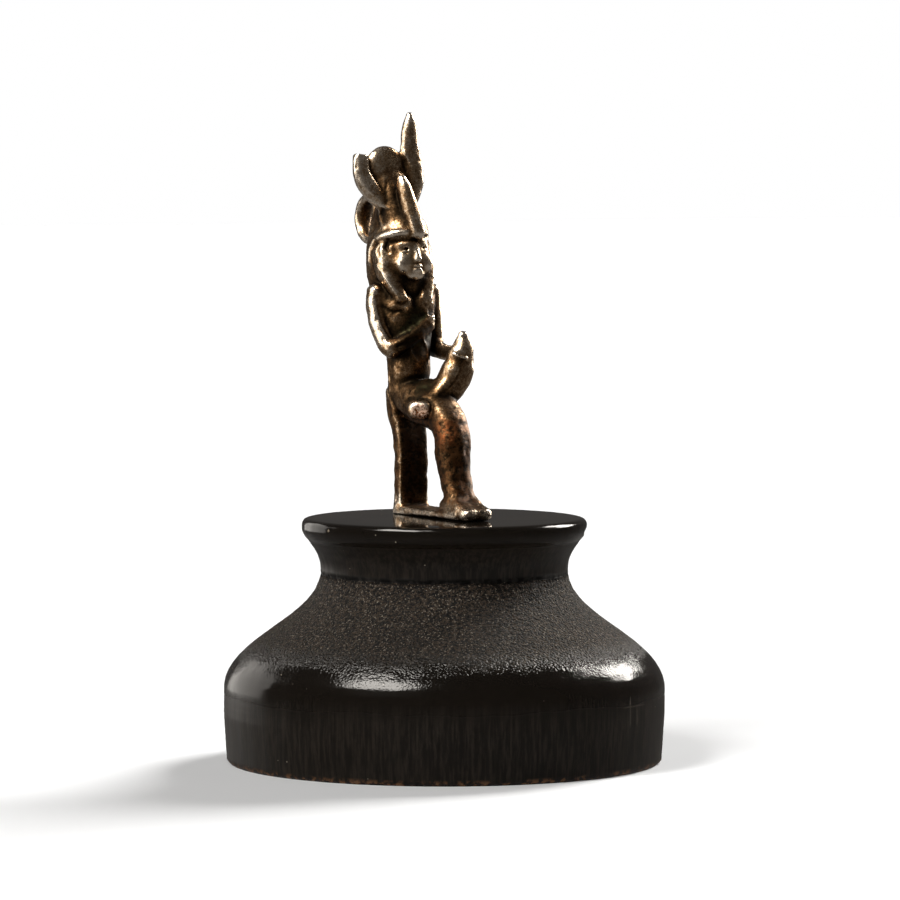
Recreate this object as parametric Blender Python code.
"""Small cast amulet of a seated goddess nursing her child, on its turned wooden stand.

Metres, +Z up. The origin is the centre of the stand's underside. The goddess faces -Y,
and her left hand is on +X.
"""
import math

import bmesh
import bpy
import numpy as np

# Driving sizes of the stand
STAND_HEIGHT = 0.0244
TOP_RADIUS = 0.0137
RIM_RADIUS = 0.0143
RIM_DROP = 0.0009
RIM_UNDER = 0.0021
NECK_RADIUS = 0.0124
NECK_DROP = 0.0051
BASE_RADIUS = 0.0221
SHOULDER_DROP = 0.0168
WALL_HEIGHT = 0.0046
FOOT_RADIUS = 0.0218
FOOT_CHAMFER = 0.0003
STAND_SEGMENTS = 72

# Driving sizes of the amulet
FIGURE_HEIGHT = 0.0405
SEAT_GAP = 0.0003
CAST_GRAIN = 0.00017
CAST_SMOOTHING = 5
CAST_TRIANGLES = 6900

# The figure's own grid has 405 parts to its height. Its pose, proportions and carving
# are given in these parts, measured from the centre of the stand's top.
PART = FIGURE_HEIGHT / 405.0
ROUND = 2.0


def clear_scene():
    for old in list(bpy.data.objects):
        bpy.data.objects.remove(old, do_unlink=True)


def material(name, colour, roughness, metallic):
    made = bpy.data.materials.new(name)
    made.use_nodes = True
    shader = made.node_tree.nodes["Principled BSDF"]
    shader.inputs["Base Color"].default_value = (*colour, 1.0)
    shader.inputs["Roughness"].default_value = roughness
    shader.inputs["Metallic"].default_value = metallic
    made.diffuse_color = (*colour, 1.0)
    return made


def smooth_path(points, steps):
    """Rows of numbers along a smooth curve through all the rows of points."""
    rows = np.array(points, float)
    padded = np.vstack([2 * rows[0] - rows[1], rows, 2 * rows[-1] - rows[-2]])
    made = []
    for i in range(len(rows) - 1):
        p0, p1, p2, p3 = padded[i : i + 4]
        for step in range(steps):
            t = step / steps
            made.append(
                0.5
                * (
                    2 * p1
                    + (p2 - p0) * t
                    + (2 * p0 - 5 * p1 + 4 * p2 - p3) * t * t
                    + (3 * p1 - p0 - 3 * p2 + p3) * t**3
                )
            )
    made.append(rows[-1])
    return np.array(made)


def section(square, sides):
    """Points round a unit outline: 2 is an ellipse, more is a box with round corners."""
    angles = np.arange(sides) * 2 * math.pi / sides
    c, s = np.cos(angles), np.sin(angles)
    return np.stack(
        [np.sign(c) * abs(c) ** (2 / square), np.sign(s) * abs(s) ** (2 / square)], 1
    )


def add_rings(mesh, rings):
    """Closes a row of rings of points into one body."""
    made = [[mesh.verts.new(p) for p in ring] for ring in rings]
    sides = len(made[0])
    for below, above in zip(made, made[1:]):
        for i in range(sides):
            j = (i + 1) % sides
            mesh.faces.new((below[i], below[j], above[j], above[i]))
    mesh.faces.new(made[0][::-1])
    mesh.faces.new(made[-1])


def limb(mesh, stations, across=(1, 0, 0), square=ROUND, sides=20, steps=5, caps=True):
    """A body along a path. A station is x, y, z, half width along across, half depth."""
    rows = smooth_path(stations, steps)
    centres = rows[:, :3]
    ways = np.gradient(centres, axis=0)
    ways /= np.linalg.norm(ways, axis=1)[:, None]
    outline = section(square, sides)
    across = np.array(across, float)
    rings = []

    def ring(centre, way, wide, deep):
        right = across - way * (across @ way)
        right /= np.linalg.norm(right)
        up = np.cross(way, right)
        return centre + outline[:, :1] * wide * right + outline[:, 1:] * deep * up

    if caps:
        first, way = rows[0], ways[0]
        for turn in (0.25, 0.6, 0.88):
            reach = min(first[3], first[4]) * math.sqrt(1 - turn * turn)
            rings.append(ring(first[:3] - way * reach, way, first[3] * turn, first[4] * turn))
    for row, way in zip(rows, ways):
        rings.append(ring(row[:3], way, row[3], row[4]))
    if caps:
        last, way = rows[-1], ways[-1]
        for turn in (0.88, 0.6, 0.25):
            reach = min(last[3], last[4]) * math.sqrt(1 - turn * turn)
            rings.append(ring(last[:3] + way * reach, way, last[3] * turn, last[4] * turn))
    add_rings(mesh, [[p * PART for p in one] for one in rings])


def bump(mesh, centre, radii, lean=0.0, roll=0.0, turn=0.0, square=ROUND):
    """A rounded body about a centre. Lean tips its top back, roll tips it to the right."""
    rows = []
    count = 12
    for i in range(1, count):
        angle = math.pi * i / count - math.pi / 2
        wide = abs(math.cos(angle)) ** (2 / square)
        high = math.copysign(abs(math.sin(angle)) ** (2 / square), angle)
        rows.append((high, wide))
    outline = section(square, 24)
    basis = tipped(lean, roll, turn)
    rings = []
    for high, wide in rows:
        local = np.stack(
            [
                outline[:, 0] * wide * radii[0],
                outline[:, 1] * wide * radii[1],
                np.full(len(outline), high * radii[2]),
            ],
            1,
        )
        rings.append([p * PART for p in local @ basis.T + np.array(centre, float)])
    add_rings(mesh, rings)


def tipped(lean, roll, turn=0.0):
    """Turns about X, Y and Z in degrees, as a matrix that acts on columns."""
    a, b, c = math.radians(lean), math.radians(roll), math.radians(turn)
    rx = np.array([[1, 0, 0], [0, math.cos(a), math.sin(a)], [0, -math.sin(a), math.cos(a)]])
    ry = np.array([[math.cos(b), 0, -math.sin(b)], [0, 1, 0], [math.sin(b), 0, math.cos(b)]])
    rz = np.array([[math.cos(c), -math.sin(c), 0], [math.sin(c), math.cos(c), 0], [0, 0, 1]])
    return rz @ ry @ rx


def hoop(mesh, centre, radius, high, wire, depth, roll=0.0, sides=14, around=40):
    """An upright ring in the plane of Y and Z, wire thick in that plane."""
    made = []
    basis = tipped(0, roll)
    for i in range(around):
        a = 2 * math.pi * i / around
        ring = []
        for j in range(sides):
            b = 2 * math.pi * j / sides
            out = radius + wire * math.cos(b)
            tall = high + wire * math.cos(b)
            local = np.array([depth * math.sin(b), out * math.cos(a), tall * math.sin(a)])
            ring.append(mesh.verts.new((basis @ local + np.array(centre, float)) * PART))
        made.append(ring)
    for i in range(around):
        for j in range(sides):
            k, m = (i + 1) % around, (j + 1) % sides
            mesh.faces.new((made[i][j], made[k][j], made[k][m], made[i][m]))


def crown_point(x, z, y=0.0):
    """A place on the crown, from its foot's centre, after the crown's own lean."""
    return tuple(tipped(CROWN_LEAN, CROWN_ROLL) @ np.array([x, y, z]) + np.array(CROWN_FOOT))


CROWN_FOOT = (-1.0, 90.0, 291.0)
CROWN_LEAN = 5.0
CROWN_ROLL = 8.0
HEAD_CENTRE = (0.0, 90.0, 256.5)
HEAD_LEAN = 9.0
HEAD_ROLL = 2.0


def seat_and_base(mesh):
    foot = SEAT_GAP / PART
    limb(
        mesh,
        [(0, 81, 5, 16, 3), (0, 76, 5, 17.5, 3.2), (0, 20, 5, 17.5, 3), (0, -52, 5, 18, 3)],
        square=5,
        caps=False,
    )
    limb(
        mesh,
        [
            (0, 67.8, foot, 18.5, 9.5),
            (0, 67.8, 12, 16.5, 7.8),
            (0, 67.8, 60, 16.3, 7.8),
            (0, 71.5, 84, 16, 8),
            (0, 79, 104, 15.5, 8),
            (0, 82, 120, 15.5, 7),
        ],
        square=6,
        sides=28,
        caps=False,
    )


def legs(mesh):
    limb(
        mesh,
        [
            (0, -33, 8, 15.5, 14),
            (0, -28.5, 24, 15.2, 12.5),
            (0, -20.5, 45, 15.8, 13),
            (0, -16.8, 62, 17, 15.2),
            (0, -17, 80, 17.3, 15),
            (0, -10, 96, 15, 14),
        ],
        square=2.5,
    )
    for side in (-1, 1):
        limb(
            mesh,
            [
                (side * 8, -18, 9, 8, 8),
                (side * 8, -38, 11, 8.5, 11),
                (side * 8.2, -54, 7.5, 8.6, 7),
                (side * 8.4, -66, 6, 8.3, 5),
            ],
            square=2.4,
        )
    limb(
        mesh,
        [
            (0, 79, 126, 16.5, 11.5),
            (0, 70, 117, 18.5, 18),
            (0, 49, 114.5, 19, 18.5),
            (0, 24, 110, 18.5, 18.5),
            (0, 2, 104, 18, 15.5),
            (0, -12, 96, 17, 13.5),
        ],
        square=2.6,
    )


def trunk(mesh):
    limb(
        mesh,
        [
            (0, 71, 112, 19.5, 17),
            (0, 70, 140, 20.5, 21),
            (0, 72, 160, 21, 20.5),
            (0, 75, 180, 24.5, 20),
            (0, 77, 200, 28, 20),
            (0, 81, 214, 33, 17),
            (0, 84, 227, 34, 12),
            (0, 86, 235, 20, 9),
        ],
        square=2.3,
    )
    limb(mesh, [(0, 85, 222, 15, 14), (0, 84, 246, 14, 14)])
    for side in (-1, 1):
        bump(mesh, (side * 13.5, 65, 209), (12, 9.5, 10))


def right_arm(mesh):
    limb(
        mesh,
        [
            (-32.5, 84, 226, 7.5, 8.5),
            (-33, 82, 212, 8, 9),
            (-32.5, 77, 192, 7.8, 8.5),
            (-30, 66, 172, 7.5, 8),
            (-27, 60, 166, 7, 7.5),
        ],
    )
    limb(
        mesh,
        [
            (-27, 60, 167, 7, 7.2),
            (-19, 53, 171, 6.8, 7),
            (-8, 49, 178, 6.6, 6.8),
            (4, 49, 185, 7, 6.2),
            (13, 53, 191, 7.4, 5),
        ],
        across=(0, 0, 1),
    )


def left_arm(mesh):
    limb(
        mesh,
        [
            (33, 84, 226, 7.5, 8.5),
            (33, 83, 212, 8, 9),
            (33, 79, 192, 7.8, 8.5),
            (32, 74, 174, 7.6, 8),
        ],
    )
    limb(
        mesh,
        [
            (31, 76, 169, 11, 7.6),
            (30, 62, 165, 9, 6.8),
            (29, 46, 163, 7.4, 6.4),
            (28, 30, 163, 7, 6.2),
        ],
        across=(0, 0, 1),
    )


def child(mesh):
    limb(
        mesh,
        [
            (-24, 12, 107, 7.5, 7),
            (-14, 13, 111, 9, 9.5),
            (2, 15, 119, 12, 13.5),
            (16, 15, 132, 13, 16),
            (23.5, 14.5, 146, 13, 16.5),
            (27, 14, 158, 10, 13),
        ],
        across=(0, 1, 0),
        square=2.2,
        sides=24,
    )
    bump(mesh, (-24, 10, 106.5), (9.5, 9.5, 9))
    limb(mesh, [(24, 2, 154, 3.6, 4.5), (19, 1, 143, 4, 5), (10, 2, 132, 3.6, 4.5)])
    bump(mesh, (3, 34, 124), (14, 20, 14))
    limb(
        mesh,
        [
            (26.5, 14, 160, 11.5, 13.6),
            (28, 14, 165, 11.6, 12.8),
            (29.5, 13.5, 171, 10, 10.5),
            (29.5, 13, 178, 7.5, 8),
            (29, 12.5, 182, 5, 5.5),
        ],
        across=(0, 1, 0),
        sides=24,
    )


def head_point(x, y, z):
    """A place on the head, from the middle of the head, after the head's own lean."""
    return tuple(tipped(HEAD_LEAN, HEAD_ROLL) @ np.array([x, y, z]) + np.array(HEAD_CENTRE))


def head(mesh):
    tip = {"lean": HEAD_LEAN, "roll": HEAD_ROLL}
    limb(
        mesh,
        [
            (0, 97, 281, 20, 20),
            (0, 97, 262, 28, 26),
            (0, 95, 242, 30.5, 25),
            (0, 95, 228, 29, 19),
            (0, 96, 216, 26, 11),
        ],
        square=2.6,
    )
    for side, out in ((-1, 1.0), (1, 0.82)):
        limb(
            mesh,
            [
                (side * 26 * out, 80, 262, 6, 11),
                (side * 26 * out, 75, 244, 7.5, 9.5),
                (side * 22 * out, 67, 229, 8.5, 6),
                (side * 18 * out, 60.5, 219, 8.5, 4.5),
            ],
            square=3,
        )
    bump(mesh, head_point(0, -13, -4), (20.5, 22, 24.5), square=2.3, **tip)
    limb(
        mesh,
        [
            head_point(0, -32.5, 6) + (2.2, 2),
            head_point(0, -35.5, -4) + (3, 3),
            head_point(0, -37, -9) + (4, 3.2),
        ],
    )
    for side in (-1, 1):
        bump(mesh, head_point(side * 8.2, -31.2, 1), (5, 2.6, 2.4), turn=side * -14, **tip)
    bump(mesh, head_point(0, -34, -17), (6, 2.6, 2.2), **tip)
    bump(mesh, head_point(0, -29.5, -24), (7, 5.5, 4.5), **tip)
    limb(
        mesh,
        [
            head_point(0, -1.5, 20) + (27, 35),
            head_point(0, -1, 26) + (26.5, 34),
            head_point(0, 0.5, 33) + (21.5, 27),
            head_point(0, 2, 38) + (15, 20),
        ],
        square=2.2,
        sides=28,
    )
    limb(
        mesh,
        [
            head_point(0, 4, 26) + (24, 31),
            head_point(0, 4, 8) + (29, 32),
            head_point(0, 4, -10) + (29.5, 31),
        ],
        square=2.4,
        sides=28,
    )


def crown(mesh):
    limb(
        mesh,
        [
            crown_point(0, -10, 3) + (18, 25),
            crown_point(0, 10, 3) + (17, 22),
            crown_point(0, 28, 1) + (17, 12),
            crown_point(0, 44) + (16, 8),
        ],
        square=2.4,
    )
    limb(
        mesh,
        [
            crown_point(6, 14) + (8, 9),
            crown_point(18, 27) + (9, 8.5),
            crown_point(27.5, 43) + (9.6, 8),
            crown_point(28.4, 60) + (9.4, 7.6),
            crown_point(28.2, 78) + (9.8, 7),
            crown_point(30.3, 93) + (9, 6),
            crown_point(32.5, 105) + (6, 5),
            crown_point(34, 110) + (3, 3),
        ],
        square=2.4,
    )
    limb(
        mesh,
        [
            crown_point(-6, 18) + (8, 9),
            crown_point(-20, 31) + (8.5, 8.5),
            crown_point(-30, 45) + (8.4, 8),
            crown_point(-33, 58) + (7.8, 7.4),
            crown_point(-32, 70) + (7.2, 6.8),
            crown_point(-30, 78) + (7, 6.6),
        ],
        caps=False,
        square=2.4,
    )
    bump(mesh, crown_point(-4, 59, 3), (22.5, 10, 24.5), lean=CROWN_LEAN, roll=CROWN_ROLL)
    limb(
        mesh,
        [
            crown_point(2, -8, -31) + (6.5, 6),
            crown_point(1, 2, -28) + (7, 7),
            crown_point(0, 20, -25) + (7, 8),
            crown_point(0, 38, -22) + (6, 7),
            crown_point(0, 48, -20) + (4.5, 5),
        ],
        square=2.4,
    )


def loop(mesh):
    hoop(mesh, (-4, 137.5, 297), 22, 22, 6, 8.5)


def cast_body():
    """All of the amulet's forms, overlapping, in one mesh."""
    mesh = bmesh.new()
    for form in (seat_and_base, legs, trunk, right_arm, left_arm, child, head, crown, loop):
        form(mesh)
    bmesh.ops.recalc_face_normals(mesh, faces=mesh.faces[:])
    data = bpy.data.meshes.new("isis_and_horus_amulet")
    mesh.to_mesh(data)
    mesh.free()
    made = bpy.data.objects.new("isis_and_horus_amulet", data)
    bpy.context.scene.collection.objects.link(made)
    made.location = (0, 0, STAND_HEIGHT)
    return made


def sole_cutter():
    """A box that trims the amulet flat, a small gap above the stand."""
    mesh = bmesh.new()
    bmesh.ops.create_cube(mesh, size=1.0)
    deep = 0.2 * FIGURE_HEIGHT
    bmesh.ops.scale(mesh, vec=(FIGURE_HEIGHT, FIGURE_HEIGHT, deep), verts=mesh.verts)
    data = bpy.data.meshes.new("sole_cutter")
    mesh.to_mesh(data)
    mesh.free()
    made = bpy.data.objects.new("sole_cutter", data)
    bpy.context.scene.collection.objects.link(made)
    made.location = (0, 0, STAND_HEIGHT + SEAT_GAP - deep / 2)
    made.hide_render = True
    made.display_type = "WIRE"
    return made


def amulet():
    made = cast_body()
    fuse = made.modifiers.new("Fuse", "REMESH")
    fuse.mode = "VOXEL"
    fuse.voxel_size = CAST_GRAIN
    fuse.use_smooth_shade = True
    soften = made.modifiers.new("Soften", "SMOOTH")
    soften.factor = 0.5
    soften.iterations = CAST_SMOOTHING
    thin = made.modifiers.new("Thin", "DECIMATE")
    bpy.context.view_layer.update()
    graph = bpy.context.evaluated_depsgraph_get()
    thin.ratio = 1.0
    graph.update()
    full = made.evaluated_get(graph).to_mesh()
    full.calc_loop_triangles()
    thin.ratio = CAST_TRIANGLES / len(full.loop_triangles)
    made.evaluated_get(graph).to_mesh_clear()
    trim = made.modifiers.new("Sole", "BOOLEAN")
    trim.operation = "DIFFERENCE"
    trim.object = sole_cutter()
    made.data.materials.append(material("tarnished bronze", (0.30, 0.22, 0.14), 0.38, 1.0))
    return made


def bezier(p0, p1, p2, p3, steps):
    made = []
    for i in range(1, steps + 1):
        t = i / steps
        weights = ((1 - t) ** 3, 3 * t * (1 - t) ** 2, 3 * t * t * (1 - t), t**3)
        made.append(
            tuple(sum(w * p[k] for w, p in zip(weights, (p0, p1, p2, p3))) for k in (0, 1))
        )
    return made


def stand_profile():
    """The turned outline, radius and height, from the top's centre to the underside's."""
    top = STAND_HEIGHT
    neck = (NECK_RADIUS, top - NECK_DROP)
    rim = (RIM_RADIUS, top - RIM_DROP)
    under = (TOP_RADIUS, top - RIM_UNDER)
    wall = (BASE_RADIUS, top - SHOULDER_DROP)
    low = (BASE_RADIUS, top - SHOULDER_DROP - 0.6 * WALL_HEIGHT)
    foot = (FOOT_RADIUS, FOOT_CHAMFER)
    drop = NECK_DROP - RIM_UNDER
    rise = SHOULDER_DROP - NECK_DROP
    points = [(0.0, top), (TOP_RADIUS - 0.0004, top)]
    points += bezier(
        points[-1], (RIM_RADIUS - 0.0001, top), (RIM_RADIUS, top - 0.4 * RIM_DROP), rim, 3
    )
    points += bezier(
        rim, (RIM_RADIUS, top - 1.6 * RIM_DROP), (under[0] + 0.0003, under[1] + 0.0003), under, 2
    )
    points += bezier(
        under,
        (under[0] - 0.0006, under[1] - 0.3 * drop),
        (neck[0], neck[1] + 0.45 * drop),
        neck,
        4,
    )
    points += bezier(
        neck,
        (neck[0], neck[1] - 0.42 * rise),
        (wall[0] - 0.0004, wall[1] + 0.42 * rise),
        wall,
        9,
    )
    points.append(low)
    points.append(foot)
    points.append((FOOT_RADIUS - FOOT_CHAMFER, 0.0))
    points.append((0.0, 0.0))
    return points


def stand():
    """The turned stand, its outline revolved about Z."""
    profile = stand_profile()
    mesh = bmesh.new()
    rings = []
    for radius, height in profile[1:-1]:
        ring = []
        for i in range(STAND_SEGMENTS):
            a = 2 * math.pi * i / STAND_SEGMENTS
            ring.append(mesh.verts.new((radius * math.cos(a), radius * math.sin(a), height)))
        rings.append(ring)
    for above, below in zip(rings, rings[1:]):
        for i in range(STAND_SEGMENTS):
            j = (i + 1) % STAND_SEGMENTS
            mesh.faces.new((below[i], below[j], above[j], above[i]))
    mesh.faces.new(rings[0])
    mesh.faces.new(rings[-1][::-1])
    bmesh.ops.recalc_face_normals(mesh, faces=mesh.faces[:])
    data = bpy.data.meshes.new("wooden_stand")
    mesh.to_mesh(data)
    mesh.free()
    data.shade_smooth()
    data.set_sharp_from_angle(angle=math.radians(35))
    made = bpy.data.objects.new("wooden_stand", data)
    bpy.context.scene.collection.objects.link(made)
    made.data.materials.append(material("ebonised wood", (0.02, 0.017, 0.014), 0.3, 0.0))
    return made


clear_scene()
stand()
amulet()
